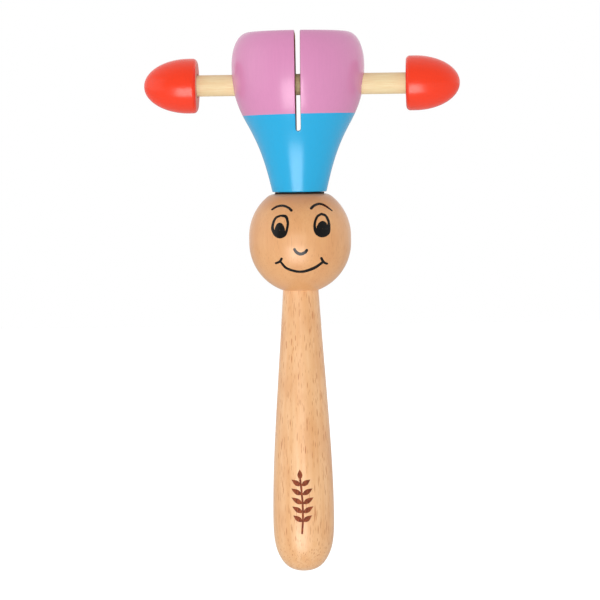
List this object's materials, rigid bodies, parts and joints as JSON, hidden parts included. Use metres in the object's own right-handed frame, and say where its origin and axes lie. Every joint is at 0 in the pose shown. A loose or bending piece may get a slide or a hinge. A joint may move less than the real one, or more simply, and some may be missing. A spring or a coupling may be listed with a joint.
{
  "type": "hand clapper toy",
  "caption": "Hand-held wooden clapper: a turned handle and ball head under a slotted hat that whirls, with a sliding rod whose round caps knock on the hat.",
  "frame": {"origin": "on the handle's axis, 40 mm above the middle of its butt end, where a hand holds it", "axes": "+Z along the handle towards the hat's top, -Y out of the face on the head, +X to the viewer's right and within 4 degrees of the rod"},
  "size_m": [0.1187, 0.0498, 0.2032],
  "materials": {
    "beech": "sanded, satin oil, dark ray flecks",
    "beech_pale": "sanded, satin oil",
    "birch": "sanded, bare",
    "hardwood": "sanded, bare",
    "hat_paint": "gloss lacquer, pink above and blue below a straight line",
    "red_paint": "gloss lacquer",
    "ink": "printed black line",
    "burnt_mark": "burnt into the surface",
    "black_rubber": "matte",
    "steel": "plain"
  },
  "bodies": {
    "handle_body": {"handle": "beech", "head": "beech_pale", "friction_washer": "black_rubber", "spindle": "steel"},
    "hat_body": {"hat": "hat_paint", "hat_bush": "hardwood", "thrust_washer": "steel"},
    "clapper": {"rod": "birch", "cap_left": "red_paint", "cap_right": "red_paint"}
  },
  "joints": [
    {"name": "hat_spin", "type": "hinge", "parent": "handle_body", "child": "hat_body", "pos_m": [0, 0, 0.10317], "axis": [0, 0, 1], "continuous": true},
    {"name": "clapper_slide", "type": "slide", "parent": "hat_body", "child": "clapper", "axis": [0.9983, -0.0576, 0], "range_m": [-0.0155, 0.0129]}
  ]
}
